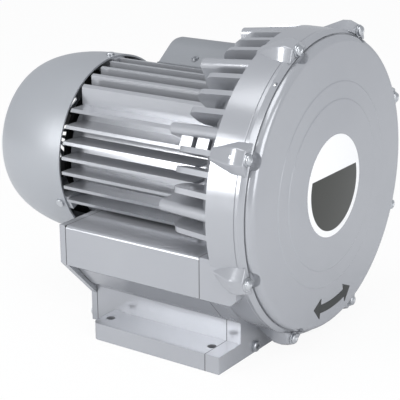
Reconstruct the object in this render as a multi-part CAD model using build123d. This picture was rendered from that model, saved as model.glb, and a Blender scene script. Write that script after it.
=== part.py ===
from build123d import *
import math
import os

# Side channel blower: a single-stage vane impeller on the shaft of a fan-cooled motor,
# standing on a hollow base whose two chambers are the inlet and outlet silencers.
# X runs along the motor axis towards the pump cover and Z is up. The origin is on the
# floor, in the middle of the four foot holes.

# ---- driving dimensions, mm ----
axis_height = 126.0         # motor axis above the floor
running_gap = 0.5           # between the impeller and the casing around it
seat_gap = 0.3              # round a loose piece that lies in a pocket
gasket_thickness = 0.6

# foot and base casting
foot_hole_spacing_x = 97.0
foot_hole_spacing_y = 181.0
foot_hole_radius = 3.5
foot_half_width = 105.0
foot_thickness = 14.0
foot_rear_x = -56.0
foot_corner_radius = 6.0
base_rear_x = -73.7
joint_x = 52.3              # plane where the pump housing bolts to the base
web_half_width = 75.6
web_height = 31.0
underside_out = (83.0, 36.5)
underside_lip = (98.0, 53.0)
duct_half_width = 111.7
duct_bottom = 60.5
deck_height = 92.7
deck_edge_radius = 2.5
base_wall = 4.0
base_floor = 11.0
chamber_divider = 8.0
saddle_screw_x = (-52.0, 10.0)
saddle_screw_radius = 2.5
saddle_head_radius = 4.5
saddle_boss_radius = 8.0
saddle_seat_height = 44.0
base_screw_y = (-56.0, -28.0, 28.0, 56.0)
base_screw_radius = 2.5

# rear port plate
port_plate_thickness = 5.6
port_spacing = 84.0
port_height = 37.0
port_radius = 17.0
port_boss_radius = 23.0
port_boss_length = 10.0
port_screw_radius = 2.0

# pump housing
ring_radius = 118.0
ring_back_x = 62.0
ring_shoulder = 11.0        # slope behind the ring
ring_front_chamfer = 1.0
split_x = 86.4              # front face of the pump housing
chamber_radius = 104.0
channel_centre_radius = 86.0
channel_radius = 13.0
channel_plane_x = 70.0
stripper_half_angle = 11.0
boss_rear_x = 68.0
boss_half_width = 5.7
boss_rise = 4.0             # above the ring, at the front
housing_foot_x = 64.6       # front end of the foot
stub_front_x = 84.0
stub_chamfer = 5.0
housing_fin_pitch = 7.5
housing_fin_thickness = 4.2
housing_fin_rear_x = 28.0
housing_tip_radius = 113.0  # where the longest ribs end
housing_fin_inner_radius = 91.0
housing_bar_pitch = 30.0
housing_bar_width = 9.0
housing_bar_rear_x = 18.0
clip_angle = 63.75          # square lugs between two ribs
clip_starts = (28.0, 42.0)
clip_length = 10.0
clip_width = 12.0
clip_depth = 8.0
neck_radius = 58.0
spigot_radius = 42.0
spigot_length = 4.0
housing_screw_circle = 48.0
housing_screw_radius = 2.5

# pump cover
cover_screw_circle = 120.0
cover_screw_count = 8
cover_screw_start = 22.5
cover_screw_radius = 2.5
cover_screw_depth = 14.0
lobe_radius = 6.5
lobe_thickness = 5.0
cover_head_radius = 4.3
cover_head_height = 3.0
cover_washer_radius = 5.0
cover_washer_thickness = 1.0
cover_flange_radius = ring_radius + 1.0
cover_flange_thickness = 4.2
cover_dome_height = 5.4
cover_dome_radius = 110.0
cover_dome_round = 5.5
cover_inner_depth = 5.0
cover_step_radii = (68.0, 46.5)
cover_step_height = 1.2
label_radius = 40.0
label_thickness = 0.4
pin_radius = 2.0
pin_angle = 38.5

# motor frame
frame_rear_x = -104.0
frame_front_x = 24.0
barrel_radius = 60.0
stator_radius = 54.0
frame_fin_radius = 78.8
fin_crown_height = 75.8     # middle fin above the axis
fin_crown_radius = 98.0     # flatter curve over the top fins
frame_fin_pitch = 12.2
frame_fin_thickness = 2.6
frame_top_fin_count = 4     # on each side of the middle one
frame_side_fin_top = 44.8   # height of the uppermost side fin above the axis
frame_side_fin_count = 7
front_ring_length = 8.0
tie_bolt_radius = 2.0

# stator and rotor
core_rear_x = -75.0
core_front_x = -5.0
stator_bore_radius = 32.0
slot_count = 24
air_gap = 0.4
winding_overhang = 15.0
shaft_mid_radius = 12.0
shaft_bearing_radius = 8.5
shaft_impeller_radius = 7.0
shaft_thread_radius = 4.0

# bearings, both the same
bearing_outer_radius = 20.0
bearing_width = 12.0
bearing_ring_thickness = 3.2
ball_count = 8
front_bearing_x = 29.0
rear_bearing_x = -104.0
washer_height = 1.2

# impeller
impeller_rear_x = channel_plane_x + running_gap
impeller_front_x = 91.0
impeller_hub_radius = 22.0
impeller_hub_rear_x = 56.0
impeller_nut_face_x = 82.0
impeller_web = 5.0
vane_count = 36
vane_thickness = 2.6
vane_lean = 12.0

# cooling fan and its cowl
fan_hub_radius = 15.0
fan_rear_x = -146.0
fan_front_x = -118.0
fan_radius = 62.0
fan_blade_count = 7
shield_rear_x = -110.0
lug_length = 9.0
lug_depth = 9.0
cowl_rim_x = -108.0
cowl_rear_x = -188.0
cowl_radius = 77.4
cowl_thickness = 1.5
cowl_taper_length = 68.0
cowl_taper_depth = 24.0
cowl_screw_angles = (-115.0, 0.0, 115.0)
cowl_screw_inset = 6.0          # from the rim to the screws

# terminal box
box_rear_x = -70.0
box_front_x = 12.0
box_near_y = 5.5
box_far_y = 68.5
box_seat_height = axis_height + 61.0
box_base_height = 12.0
box_wall = 2.5
lid_top_height = axis_height + 90.6
lid_crown_half_width = 8.5
lid_crown_round = 21.0
lid_rim_height = 1.8
lid_rim_step = 2.5
lid_screw_radius = 1.5
lid_screw_x = -38.0
lid_screw_inset = 8.5       # from the long sides of the lid
gland_radius = 6.3
gland_bore_radius = 3.6

axis_line = Axis((0, 0, axis_height), (1, 0, 0))


# ---- helpers ----
def across(x):
    """Plane square to the motor axis at x, with its origin on the axis."""
    return Plane((x, 0, axis_height), x_dir=(0, 1, 0), z_dir=(1, 0, 0))


def disc(x0, x1, radius):
    return extrude(across(x0) * Circle(radius), x1 - x0)


def tube(x0, x1, outer, inner):
    return extrude(across(x0) * (Circle(outer) - Circle(inner)), x1 - x0)


def at(x, y, z):
    return Plane((x, y, z), x_dir=(0, 1, 0), z_dir=(1, 0, 0))


def turned(points, rounds=()):
    """Solid turned about the motor axis from (x, radius) points; rounds are (x, radius, fillet)."""
    profile = Plane.XZ * Polygon(*[(x, axis_height + r) for x, r in points], align=None)
    for x, r, fillet_radius in rounds:
        corner = profile.vertices().sort_by_distance((x, 0, axis_height + r))[0]
        profile = fillet(corner, fillet_radius)
    return revolve(profile, axis_line)


def turn_to(angle):
    """Turns a piece made above the axis by angle, away from the top towards -Y."""
    return Pos(0, 0, axis_height) * Rot(angle, 0, 0) * Pos(0, 0, -axis_height)


def section(points, x0, x1):
    """Straight run along X of an outline given as (y, z) points."""
    return extrude(Plane.YZ.offset(x0) * Polygon(*points, align=None), x1 - x0, dir=(1, 0, 0))


def both_sides(points):
    """Closes a right-hand outline with its mirror image."""
    return points + [(-y, z) for y, z in reversed(points)]


def block(x0, x1, y0, y1, z0, z1):
    return Pos((x0 + x1) / 2, (y0 + y1) / 2, (z0 + z1) / 2) * Box(x1 - x0, y1 - y0, z1 - z0)


def group(parts):
    """Separate solids that share one node."""
    return Compound([solid for part in parts for solid in part.solids()])


def on_circle(radius, angle):
    """(y, z) of a point at a radius and an angle from the top towards -Y."""
    turn = math.radians(angle)
    return -radius * math.sin(turn), axis_height + radius * math.cos(turn)


def cover_angles():
    step = 360.0 / cover_screw_count
    return [cover_screw_start + step * i for i in range(cover_screw_count)]


# ---- base casting ----
def base_outline():
    return both_sides([
        (web_half_width, 0),
        (web_half_width, web_height),
        underside_out,
        underside_lip,
        (duct_half_width, duct_bottom),
        (duct_half_width, deck_height),
    ])


def chamber_outline():
    w = base_wall
    return [
        (chamber_divider / 2, base_floor),
        (web_half_width - w, base_floor),
        (web_half_width - w, web_height + w / 2),
        (underside_out[0] - w, underside_out[1] + w),
        (underside_lip[0] - w, underside_lip[1] + w),
        (duct_half_width - w, duct_bottom + w),
        (duct_half_width - w, deck_height - w),
        (chamber_divider / 2, deck_height - w),
    ]


def chambers(x0, x1):
    right = section(chamber_outline(), x0, x1)
    return (right + mirror(right, Plane.XZ)) - disc(x0, x1, barrel_radius + base_wall)


def foot_slab(x0, x1):
    return block(x0, x1, -foot_half_width, foot_half_width, 0, foot_thickness)


def foot_holes():
    spots = GridLocations(foot_hole_spacing_x, foot_hole_spacing_y, 2, 2)
    return extrude(Sketch() + spots * Circle(foot_hole_radius), foot_thickness)


def saddle_holes(z0, z1, radius):
    """Upright holes under the motor, on the line of the wall between the chambers."""
    return Part() + [Pos(x, 0, (z0 + z1) / 2) * Cylinder(radius, z1 - z0) for x in saddle_screw_x]


def base_screw_holes(x0, x1, radius):
    return Part() + [extrude(at(x0, y, base_floor / 2) * Circle(radius), x1 - x0)
                     for y in base_screw_y]


def base_casting():
    front_x = joint_x - gasket_thickness
    body = section(base_outline(), base_rear_x, front_x)
    upper = body.edges().filter_by(Axis.X).group_by(Axis.Z)[-1]
    body = fillet(upper, deck_edge_radius)
    foot = foot_slab(foot_rear_x, front_x)
    corners = foot.edges().filter_by(Axis.Z).group_by(Axis.X)[0]
    body = body + fillet(corners, foot_corner_radius)
    body = body - chambers(base_rear_x, front_x) + saddle_holes(base_floor / 2, axis_height, saddle_boss_radius)
    body = body - disc(base_rear_x, front_x, barrel_radius)
    body = body - saddle_holes(0, saddle_seat_height, saddle_head_radius + 0.5)
    body = body - saddle_holes(saddle_seat_height, axis_height, saddle_screw_radius)
    body = body - base_screw_holes(front_x - 14, front_x, base_screw_radius)
    return body - foot_holes() - port_screw_holes(base_rear_x, base_rear_x + 12)


def saddle_screws():
    top = axis_height - stator_radius - 0.5
    shank = saddle_holes(saddle_seat_height, top, saddle_screw_radius)
    head = saddle_holes(saddle_seat_height - 5, saddle_seat_height, saddle_head_radius)
    socket = saddle_holes(saddle_seat_height - 5, saddle_seat_height - 2.5, 2.2)
    return group([head + shank - socket])


def base_screws():
    return group([pan_screw(housing_foot_x, y, base_floor / 2, base_screw_radius, 24, 4.4, 3.2, 1)
                  for y in base_screw_y])


def duct_gasket():
    x0 = joint_x - gasket_thickness
    body = section(base_outline(), x0, joint_x) + foot_slab(x0, joint_x)
    body = body - disc(x0, joint_x, barrel_radius) - chambers(x0, joint_x)
    return body - base_screw_holes(x0, joint_x, base_screw_radius)


def silencer_foam():
    """One block of open-cell foam in the upper corner of each chamber."""
    inner_y = underside_lip[0] - 2 * base_wall
    outer_y = duct_half_width - base_wall - seat_gap
    low = duct_bottom + base_wall + seat_gap
    high = deck_height - base_wall - seat_gap
    foam = block(base_rear_x + 10, joint_x - 10, inner_y, outer_y, low, high)
    return group([foam, mirror(foam, Plane.XZ)])


# ---- rear port plate ----
def port_screw_spots():
    right = [(web_half_width - 5, 6.5), (duct_half_width - 6.5, deck_height - 7.0), (0, 6.5)]
    return right + [(-y, z) for y, z in right[:2]] + [(0, axis_height - barrel_radius - 6)]


def port_screw_holes(x0, x1):
    return Part() + [extrude(at(x0, y, z) * Circle(port_screw_radius), x1 - x0)
                     for y, z in port_screw_spots()]


def plate_outline():
    return both_sides([
        (web_half_width, 0.6),
        (web_half_width, web_height - 6),
        (duct_half_width, duct_bottom + 1),
        (duct_half_width, deck_height),
    ])


def ports(x0, x1, radius):
    return Part() + [extrude(at(x0, side * port_spacing / 2, port_height) * Circle(radius), x1 - x0)
                     for side in (-1, 1)]


def plate_front_x():
    return base_rear_x - gasket_thickness


def rear_port_plate():
    front = plate_front_x()
    rear = front - port_plate_thickness
    body = section(plate_outline(), rear, front) - disc(rear, front, barrel_radius + 1)
    body = body + ports(rear - port_boss_length, front, port_boss_radius)
    body = body - ports(rear - port_boss_length, front, port_radius)
    return body - port_screw_holes(rear, front)


def port_plate_gasket():
    front = base_rear_x
    body = section(base_outline(), plate_front_x(), front)
    body = body - disc(plate_front_x(), front, barrel_radius + 1)
    body = body - chambers(plate_front_x(), front)
    return body - port_screw_holes(plate_front_x(), front)


def pan_screw(x, y, z, radius, length, head_radius, head_height, facing):
    """Pan-head screw along X whose head seats at x and looks along facing (+1 or -1)."""
    head_end = x + facing * head_height
    head = extrude(at(min(x, head_end), y, z) * Circle(head_radius), head_height)
    rim = head.edges().filter_by(GeomType.CIRCLE).sort_by(Axis.X)
    head = fillet(rim[-1] if facing > 0 else rim[0], head_height * 0.45)
    shank_end = x - facing * length
    shank = extrude(at(min(x, shank_end), y, z) * Circle(radius), length)
    recess = extrude(at(head_end, y, z) * (Rectangle(head_radius * 1.1, head_radius * 0.25)
                     + Rectangle(head_radius * 0.25, head_radius * 1.1)), -facing * head_height * 0.5)
    return head + shank - recess


def port_plate_screws():
    seat = plate_front_x() - port_plate_thickness
    return group([pan_screw(seat, y, z, port_screw_radius, 14, 4.0, 2.6, -1)
                  for y, z in port_screw_spots()])


# ---- pump housing ----
def screw_lobes(x0, x1, radius):
    return [extrude(at(x0, *on_circle(cover_screw_circle, a)) * Circle(radius), x1 - x0)
            for a in cover_angles()]


def ring_bosses():
    """Pads on the ring that rise towards the cover screws."""
    inner = axis_height + ring_radius - 2 * boss_rise
    outer = axis_height + ring_radius
    ramp = Plane.XZ * Polygon((boss_rear_x, inner), (split_x, inner), (split_x, outer + boss_rise),
                              (boss_rear_x, outer), align=None)
    pad = extrude(ramp, boss_half_width, both=True)
    return [turn_to(a) * pad for a in cover_angles()]


def rib_tip_radius(x):
    """Outer edge of the ribs behind the ring, which fall off towards the rear."""
    share = (ring_back_x - x) / (ring_back_x - housing_bar_rear_x)
    return ring_radius - share * (ring_radius - housing_tip_radius)


def housing_fin(rear_x, thickness):
    """Fin above the axis: a tab with both rear corners rounded."""
    inner = axis_height + housing_fin_inner_radius
    outer = axis_height + rib_tip_radius(rear_x)
    tab = Plane.XZ * Polygon((rear_x, inner), (ring_back_x, inner), (ring_back_x, axis_height + ring_radius),
                             (rear_x, outer), align=None)
    corners = tab.vertices().group_by(Axis.X)[0]
    tab = fillet(corners, (outer - inner) * 0.42)
    return extrude(tab, thickness / 2, both=True)


def bar_section(x):
    """Upright rib section with a rounded outer edge."""
    height = rib_tip_radius(x) - housing_fin_inner_radius
    bar = Plane.YZ.offset(x) * (Pos(0, axis_height + housing_fin_inner_radius + height / 2)
                                * Rectangle(housing_bar_width, height))
    upper = bar.vertices().group_by(Axis.Z)[-1]
    return fillet(upper, housing_bar_width * 0.47)


def housing_bar():
    """Thick rib above the axis that grows a little towards the ring."""
    return loft([bar_section(housing_bar_rear_x), bar_section(ring_back_x)], ruled=True)


def rib_clips():
    """Square lugs that join a thick rib to the next fin."""
    z = axis_height + rib_tip_radius(ring_back_x) - clip_depth
    return [turn_to(clip_angle) * block(x, x + clip_length, -clip_width / 2, clip_width / 2, z - clip_depth, z)
            for x in clip_starts]


def housing_fins():
    steps = int(round(105.0 / housing_fin_pitch))
    fins = rib_clips()
    for i in range(-steps, steps + 1):
        angle = i * housing_fin_pitch
        from_bar = abs(angle) % housing_bar_pitch
        if from_bar < 1:
            fins.append(turn_to(angle) * housing_bar())
        elif abs(angle) < 102:
            fins.append(turn_to(angle) * housing_fin(housing_fin_rear_x, housing_fin_thickness))
    return fins


def side_channel():
    """Half-round annular channel, interrupted by the stripper at the bottom."""
    profile = Plane.XZ * Pos(channel_plane_x, axis_height + channel_centre_radius) * Circle(channel_radius)
    channel = revolve(profile, axis_line)
    reach = ring_radius * math.tan(math.radians(stripper_half_angle))
    wedge = section([(0, axis_height), (reach, axis_height - ring_radius),
                     (-reach, axis_height - ring_radius)], ring_back_x - 5, channel_plane_x)
    return channel - wedge


def port_windows():
    """Openings from the side channel back into the two silencer chambers."""
    inner = channel_centre_radius - channel_radius + 2
    outer = channel_centre_radius + channel_radius - 2
    x1 = channel_plane_x - channel_radius + 4
    reach = web_half_width - base_wall
    top = axis_height - barrel_radius
    area = block(joint_x, x1, -reach, reach, base_floor + 6, top)
    return (tube(joint_x, x1, outer, inner) & area) - block(joint_x, x1, -20, 20, 0, top)


def pump_housing():
    """Ring casting in one piece with the front end of the base and its duct stubs."""
    back_wall = turned([(joint_x, 0), (joint_x, ring_radius - ring_shoulder), (ring_back_x, ring_radius),
                        (split_x - ring_front_chamfer, ring_radius), (split_x, ring_radius - ring_front_chamfer),
                        (split_x, 0)])
    end_wall = section(base_outline(), joint_x, housing_foot_x)
    foot = foot_slab(joint_x, housing_foot_x)
    stub = duct_stub()
    body = back_wall + end_wall + foot + stub + mirror(stub, Plane.XZ)
    body = body + ring_bosses() + screw_lobes(split_x - lobe_thickness, split_x, lobe_radius)
    body = body + housing_fins()
    pocket = block(joint_x, stub_front_x - 6, channel_centre_radius + 18, duct_half_width - base_wall,
                   duct_bottom + base_wall, deck_height - base_wall)
    body = body - pocket - mirror(pocket, Plane.XZ)
    body = body - disc(channel_plane_x, split_x, chamber_radius) - side_channel() - port_windows()
    body = body - disc(cavity_x(), channel_plane_x, channel_centre_radius - channel_radius - 6)
    body = body - disc(joint_x, impeller_hub_rear_x, seal_outer_radius())
    body = body - screw_lobes(split_x - cover_screw_depth, split_x, cover_screw_radius)
    body = body - housing_screw_holes(joint_x, cavity_x(), housing_screw_radius)
    body = body - base_screw_holes(joint_x, housing_foot_x, base_screw_radius)
    return body - locating_pins_at(split_x - 6, split_x, pin_radius)


def duct_stub():
    """Closed front end of the duct on the +Y side, beside the ring."""
    stub = section([(channel_centre_radius, duct_bottom), (duct_half_width, duct_bottom),
                    (duct_half_width, deck_height), (channel_centre_radius, deck_height)],
                   joint_x, stub_front_x)
    top_edge = stub.edges().filter_by(Axis.X).sort_by_distance((joint_x, duct_half_width, deck_height))[0]
    stub = fillet(top_edge, deck_edge_radius)
    low_edge = stub.edges().filter_by(Axis.Y).sort_by_distance((stub_front_x, duct_half_width, duct_bottom))[0]
    return chamfer(low_edge, stub_chamfer)


def front_end_shield():
    """Thick flange between motor and pump that holds the front bearing and the seal."""
    body = disc(frame_front_x, joint_x, neck_radius)
    body = body + disc(frame_front_x - spigot_length, frame_front_x, spigot_radius)
    body = body - disc(frame_front_x - spigot_length, front_bearing_x + bearing_width, bearing_outer_radius)
    body = body - disc(front_bearing_x, joint_x, seal_outer_radius())
    return body - housing_screw_holes(frame_front_x, joint_x, housing_screw_radius)


def cavity_x():
    """Flat bottom of the pocket behind the impeller hub."""
    return impeller_hub_rear_x - 2


def housing_screw_holes(x0, x1, radius):
    return Part() + [extrude(at(x0, *on_circle(housing_screw_circle, a)) * Circle(radius), x1 - x0)
                     for a in (45, 135, 225, 315)]


def housing_screws():
    """Socket screws from the pump side into the front ring of the motor frame."""
    shank = housing_screw_holes(frame_front_x - 6, cavity_x(), housing_screw_radius)
    head = housing_screw_holes(cavity_x(), cavity_x() + 5, 4.5)
    socket = housing_screw_holes(cavity_x() + 2.5, cavity_x() + 5, 2.2)
    return group([head + shank - socket])


def locating_pins_at(x0, x1, radius):
    reach = cover_flange_radius - 3.5
    return Part() + [extrude(at(x0, *on_circle(reach, a)) * Circle(radius), x1 - x0)
                     for a in (pin_angle, pin_angle + 180)]


# ---- pump cover ----
def cover_back_x():
    return split_x + gasket_thickness


def cover_front_x():
    return cover_back_x() + cover_flange_thickness


def cover_gasket():
    body = tube(split_x, cover_back_x(), ring_radius - ring_front_chamfer, chamber_radius + 1)
    body = body + screw_lobes(split_x, cover_back_x(), lobe_radius - 0.5)
    body = body - disc(split_x, cover_back_x(), chamber_radius + 1)
    body = body - screw_lobes(split_x, cover_back_x(), cover_screw_radius)
    return body - locating_pins_at(split_x, cover_back_x(), pin_radius)


def pump_cover():
    back, front = cover_back_x(), cover_front_x()
    top = front + cover_dome_height
    outer_step, inner_step = cover_step_radii
    rise = cover_step_height
    body = turned([(back, 0), (back, cover_flange_radius), (front, cover_flange_radius),
                   (front, cover_dome_radius), (top, cover_dome_radius - 2), (top, outer_step),
                   (top + rise, outer_step - 3), (top + rise, inner_step),
                   (top + 2 * rise, inner_step - 3), (top + 2 * rise, 0)],
                  rounds=[(top, cover_dome_radius - 2, cover_dome_round)])
    body = body + screw_lobes(back, front, lobe_radius)
    body = body - disc(back, back + cover_inner_depth, chamber_radius + 1)
    body = body - screw_lobes(back, front, cover_screw_radius)
    return body - locating_pins_at(back, front, pin_radius)


def cover_screws():
    seat = cover_front_x() + cover_washer_thickness
    length = seat - split_x + cover_screw_depth - 1
    return group([pan_screw(seat, *on_circle(cover_screw_circle, a), cover_screw_radius, length,
                            cover_head_radius, cover_head_height, 1)
                  for a in cover_angles()])


def cover_washers():
    seat = cover_front_x()
    ring = Circle(cover_washer_radius) - Circle(cover_screw_radius)
    return group([extrude(at(seat, *on_circle(cover_screw_circle, a)) * ring, cover_washer_thickness)
                  for a in cover_angles()])


def locating_pins():
    return group([locating_pins_at(split_x - 6, cover_front_x() + 0.6, pin_radius)])


def cover_label_plate():
    top = cover_front_x() + cover_dome_height + 2 * cover_step_height
    return extrude(at(top, 0, axis_height) * Circle(label_radius), label_thickness)


# ---- motor frame ----
def frame_fin_field():
    """Parallel fins: upright ones on top and level ones on each side."""
    half = frame_fin_thickness / 2
    length = frame_front_x - frame_rear_x
    lines = Sketch()
    for i in range(-frame_top_fin_count, frame_top_fin_count + 1):
        y = i * frame_fin_pitch
        lines += Pos(y, frame_fin_radius / 2) * Rectangle(2 * half, frame_fin_radius)
    for i in range(frame_side_fin_count):
        z = frame_side_fin_top - i * frame_fin_pitch
        lines += Pos(0, z) * Rectangle(2 * frame_fin_radius, 2 * half)
    envelope = Circle(frame_fin_radius) & (Pos(0, fin_crown_height - fin_crown_radius) * Circle(fin_crown_radius))
    return extrude(across(frame_rear_x) * (lines & envelope), length)


def terminal_pad():
    return block(box_rear_x + 6, box_front_x - 4, box_near_y + 3, box_far_y - 16,
                 axis_height, box_seat_height)


def motor_frame():
    body = disc(frame_rear_x, frame_front_x, barrel_radius) + frame_fin_field()
    room = block(frame_rear_x, frame_front_x, box_near_y - 2, frame_fin_radius,
                 box_seat_height, axis_height + frame_fin_radius + 1)
    body = body + terminal_pad() - room
    body = body - disc(frame_rear_x, frame_front_x - front_ring_length, stator_radius)
    body = body - disc(frame_rear_x, frame_front_x, spigot_radius)
    body = body - housing_screw_holes(frame_front_x - front_ring_length, frame_front_x, housing_screw_radius)
    body = body - tie_bolt_holes(frame_rear_x, frame_rear_x + 8)
    return body - saddle_holes(saddle_seat_height, axis_height - stator_radius + 1, saddle_screw_radius)


# ---- stator ----
def stator_core():
    core = tube(core_rear_x, core_front_x, stator_radius, stator_bore_radius)
    slot = section([(-2.4, axis_height + stator_bore_radius + 2), (2.4, axis_height + stator_bore_radius + 2),
                    (3.6, axis_height + stator_bore_radius + 13), (-3.6, axis_height + stator_bore_radius + 13)],
                   core_rear_x, core_front_x)
    return core - [turn_to(360 / slot_count * i) * slot for i in range(slot_count)]


def stator_windings():
    inner, outer = stator_bore_radius + 2, stator_bore_radius + 14
    rear = turned([(core_rear_x - winding_overhang, inner), (core_rear_x - winding_overhang, outer),
                   (core_rear_x, outer), (core_rear_x, inner)],
                  rounds=[(core_rear_x - winding_overhang, inner, 4), (core_rear_x - winding_overhang, outer, 4)])
    front = turned([(core_front_x, inner), (core_front_x, outer), (core_front_x + winding_overhang, outer),
                    (core_front_x + winding_overhang, inner)],
                   rounds=[(core_front_x + winding_overhang, inner, 4), (core_front_x + winding_overhang, outer, 4)])
    return group([rear, front])


def rear_end_shield():
    body = disc(shield_rear_x, frame_rear_x, barrel_radius) + disc(frame_rear_x, frame_rear_x + 5, stator_radius)
    body = body + disc(frame_rear_x, rear_bearing_x + bearing_width, bearing_outer_radius + 5)
    lug = block(shield_rear_x, frame_rear_x, -6, 6, axis_height + barrel_radius - 4, axis_height + cowl_radius)
    tongue = block(shield_rear_x - lug_length, shield_rear_x, -6, 6,
                   axis_height + cowl_radius - lug_depth, axis_height + cowl_radius)
    flush = disc(shield_rear_x - lug_length, frame_rear_x, cowl_radius - cowl_thickness)
    body = body + [turn_to(-a) * ((lug + tongue) & flush) for a in cowl_screw_angles]
    body = body - disc(rear_bearing_x - washer_height, rear_bearing_x + bearing_width, bearing_outer_radius)
    body = body - disc(shield_rear_x, frame_rear_x, shaft_bearing_radius + 1.5)
    return body - cowl_screw_holes() - tie_bolt_holes(shield_rear_x, frame_rear_x)


def cowl_screw_holes():
    hole = Pos(cowl_rim_x - cowl_screw_inset, 0, axis_height + cowl_radius - 9) * Cylinder(2, 20)
    return Part() + [turn_to(-a) * hole for a in cowl_screw_angles]


def tie_bolts():
    """Long screws that hold the rear end shield to the frame."""
    return group([pan_screw(shield_rear_x, y, z, tie_bolt_radius, 12, 3.2, 2.6, -1)
                  for y, z in tie_bolt_spots()])


def tie_bolt_spots():
    middle = (barrel_radius + stator_radius) / 2
    return [on_circle(middle, a) for a in (20, 160, 200, 340)]


def tie_bolt_holes(x0, x1):
    return Part() + [extrude(at(x0, y, z) * Circle(tie_bolt_radius), x1 - x0)
                     for y, z in tie_bolt_spots()]


def wave_washer():
    """Spring washer that preloads the rear bearing."""
    return tube(rear_bearing_x - washer_height, rear_bearing_x, bearing_outer_radius - 0.5,
                bearing_outer_radius - 5)


def bearing_starts():
    return (front_bearing_x, rear_bearing_x)


def bearing_outer_rings():
    t = bearing_ring_thickness
    return group([tube(x, x + bearing_width, bearing_outer_radius, bearing_outer_radius - t)
                  for x in bearing_starts()])


def bearing_inner_rings():
    t = bearing_ring_thickness
    return group([tube(x, x + bearing_width, shaft_bearing_radius + t, shaft_bearing_radius)
                  for x in bearing_starts()])


def bearing_balls():
    inner = shaft_bearing_radius + bearing_ring_thickness
    outer = bearing_outer_radius - bearing_ring_thickness
    ball_radius = (outer - inner) / 2 - 0.05
    balls = []
    for x in bearing_starts():
        for i in range(ball_count):
            y, z = on_circle((inner + outer) / 2, 360 / ball_count * i)
            balls.append(Pos(x + bearing_width / 2, y, z) * Sphere(ball_radius))
    return group(balls)


def seal_outer_radius():
    return shaft_bearing_radius + 6


def shaft_seal():
    x0 = front_bearing_x + bearing_width + 2
    x1 = impeller_hub_rear_x - 4
    return tube(x0, x1, seal_outer_radius(), shaft_impeller_radius + 0.08)


# ---- rotor ----
def rotor_shaft():
    front_seat = front_bearing_x + bearing_width
    rear_seat = rear_bearing_x
    return turned([
        (fan_rear_x - 6, 0), (fan_rear_x - 6, shaft_impeller_radius),
        (rear_seat - 6, shaft_impeller_radius), (rear_seat - 6, shaft_bearing_radius),
        (rear_seat + bearing_width, shaft_bearing_radius), (rear_seat + bearing_width, shaft_mid_radius),
        (front_bearing_x, shaft_mid_radius), (front_bearing_x, shaft_bearing_radius),
        (front_seat, shaft_bearing_radius), (front_seat, shaft_impeller_radius),
        (impeller_nut_face_x - 1, shaft_impeller_radius), (impeller_nut_face_x - 1, shaft_thread_radius),
        (impeller_nut_face_x + 7.5, shaft_thread_radius), (impeller_nut_face_x + 7.5, 0),
    ]) - impeller_key_slot()


def rotor_core():
    return tube(core_rear_x, core_front_x, stator_bore_radius - air_gap, shaft_mid_radius)


def cage_end_rings():
    outer = stator_bore_radius - air_gap - 1
    return group([tube(core_rear_x - 8, core_rear_x, outer, outer - 9),
                  tube(core_front_x, core_front_x + 8, outer, outer - 9)])


def impeller_key_slot():
    return block(impeller_hub_rear_x + 4, impeller_nut_face_x - 5, -2, 2,
                 axis_height + shaft_impeller_radius - 2.5, axis_height + shaft_impeller_radius + 2.3)


def impeller_key():
    return impeller_key_slot()


def impeller():
    rim_outer = chamber_radius - running_gap
    rim_inner = channel_centre_radius - channel_radius
    body = turned([
        (impeller_hub_rear_x, shaft_impeller_radius), (impeller_hub_rear_x, impeller_hub_radius),
        (impeller_front_x - 8 - impeller_web, impeller_hub_radius + 4),
        (impeller_front_x - 8 - impeller_web, rim_inner - 8),
        (impeller_rear_x, rim_inner - 4), (impeller_rear_x, rim_outer), (impeller_front_x, rim_outer),
        (impeller_front_x, rim_inner), (impeller_front_x - 8, rim_inner - 8),
        (impeller_front_x - 8, impeller_hub_radius + 2), (impeller_nut_face_x, impeller_hub_radius - 2),
        (impeller_nut_face_x, shaft_impeller_radius),
    ])
    groove = revolve(Plane.XZ * Pos(impeller_rear_x, axis_height + channel_centre_radius)
                     * Circle(channel_radius), axis_line)
    blank = Pos(impeller_rear_x + channel_radius / 2, 0, axis_height + channel_centre_radius) * (
        Rot(0, 0, vane_lean) * Box(channel_radius * 1.3, vane_thickness, 2 * channel_radius + 4))
    half = disc(impeller_rear_x, impeller_rear_x + channel_radius, rim_outer)
    vane = blank & groove & half
    body = body - groove + [turn_to(360 / vane_count * i) * vane for i in range(vane_count)]
    return body - impeller_key_slot()


def impeller_washer():
    return tube(impeller_nut_face_x, impeller_nut_face_x + 1.6, 9, shaft_thread_radius)


def impeller_nut():
    x0 = impeller_nut_face_x + 1.6
    return extrude(across(x0) * (RegularPolygon(7.5, 6) - Circle(shaft_thread_radius)), 5.5)


# ---- cooling fan and cowl ----
def cooling_fan():
    hub = disc(fan_rear_x, fan_front_x, fan_hub_radius)
    plate = disc(fan_front_x - 3, fan_front_x, fan_radius - 6)
    blade = block(fan_rear_x + 4, fan_front_x - 3, -1.25, 1.25,
                  axis_height + fan_hub_radius - 1, axis_height + fan_radius)
    body = hub + plate + [turn_to(360 / fan_blade_count * i) * blade for i in range(fan_blade_count)]
    return body - disc(fan_rear_x, fan_front_x, shaft_impeller_radius)


def fan_circlip():
    return tube(fan_rear_x - 1.2, fan_rear_x, shaft_impeller_radius + 2.5, shaft_impeller_radius)


def cowl_shape(grow):
    """Cup with an elliptical shoulder; grow is how far it lies inside the outer skin."""
    radius, rear = cowl_radius - grow, cowl_rear_x + grow
    depth, length = cowl_taper_depth, cowl_taper_length
    start = rear + length
    top, side = axis_height + radius, axis_height + radius - depth
    shoulder = EllipticalCenterArc((start, side), length, depth, start_angle=90, arc_size=90)
    outline = shoulder + Polyline((rear, side), (rear, axis_height), (cowl_rim_x, axis_height),
                                  (cowl_rim_x, top), (start, top))
    return revolve(Plane.XZ * make_face(outline), axis_line)


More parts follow.
